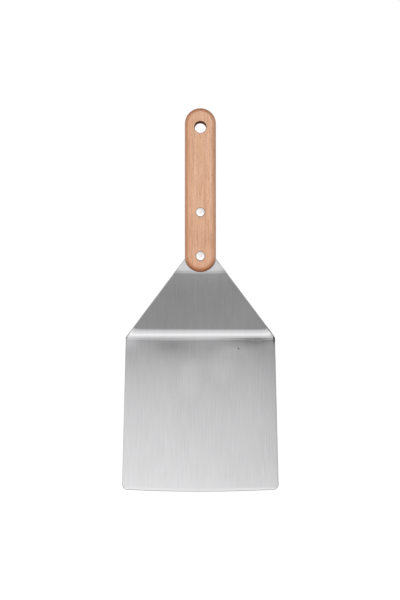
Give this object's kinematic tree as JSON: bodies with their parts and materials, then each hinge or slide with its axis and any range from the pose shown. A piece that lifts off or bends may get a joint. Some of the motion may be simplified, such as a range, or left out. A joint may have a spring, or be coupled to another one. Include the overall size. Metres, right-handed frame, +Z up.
{
  "type": "grill spatula",
  "caption": "Wide flat steel grill spatula blade with a cranked, tapering neck, its tang riveted into a slotted beech bar handle with a hanging hole.",
  "frame": {"origin": "middle of the footprint, on the surface that the blade lies on", "axes": "+Z up, off the flat underside of the blade; +Y from the front edge towards the end of the handle; +X across the blade"},
  "size_m": [0.1238, 0.2998, 0.0696],
  "materials": {
    "blade_steel": "stainless sheet, brushed along its length",
    "handle_beech": "sanded beech, lightly oiled",
    "rivet_metal": "polished"
  },
  "bodies": {
    "root": {"blade": "blade_steel", "handle": "handle_beech", "front_rivet_sleeve": "rivet_metal", "front_rivet_pin": "rivet_metal", "rear_rivet_sleeve": "rivet_metal", "rear_rivet_pin": "rivet_metal"}
  },
  "joints": []
}
